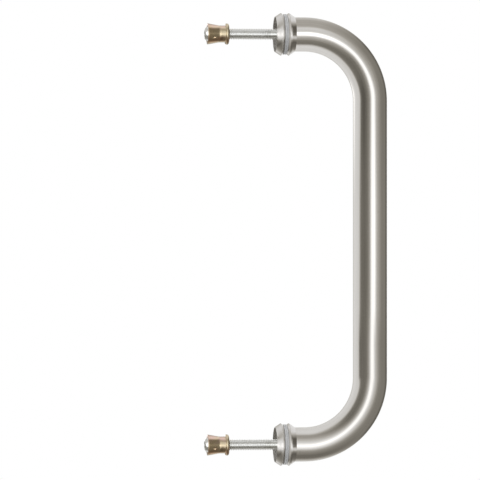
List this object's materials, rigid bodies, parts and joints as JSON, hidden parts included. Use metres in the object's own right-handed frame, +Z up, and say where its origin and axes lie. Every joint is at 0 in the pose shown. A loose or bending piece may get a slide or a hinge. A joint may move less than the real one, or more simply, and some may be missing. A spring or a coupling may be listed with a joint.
{
  "type": "door pull handle",
  "caption": "D-shaped satin steel tube pull handle for a door, with through-bolts, conical spools, cover rings and clear gaskets.",
  "frame": {"origin": "on the door plane, where the gaskets of both sides meet, midway between the bolts", "axes": "+X out of the door towards the grip, +Z up along the grip, bolts along -X"},
  "size_m": [0.1345, 0.031, 0.331],
  "materials": {
    "satin_steel": "satin stainless with a fine ground grain",
    "insert_steel": "plain turned steel",
    "bright_zinc": "bright zinc plate",
    "yellow_passivate": "glossy yellow passivated zinc, slightly iridescent",
    "clear_pvc": "clear soft plastic, slightly grey"
  },
  "bodies": {
    "root": {"grip_tube": "satin_steel", "upper_tube_insert": "insert_steel", "upper_bolt": "bright_zinc", "upper_spool": "yellow_passivate", "upper_handle_ring": "satin_steel", "upper_handle_gasket": "clear_pvc", "upper_far_gasket": "clear_pvc", "upper_far_ring": "satin_steel", "lower_tube_insert": "insert_steel", "lower_bolt": "bright_zinc", "lower_spool": "yellow_passivate", "lower_handle_ring": "satin_steel", "lower_handle_gasket": "clear_pvc", "lower_far_gasket": "clear_pvc", "lower_far_ring": "satin_steel"}
  },
  "joints": []
}
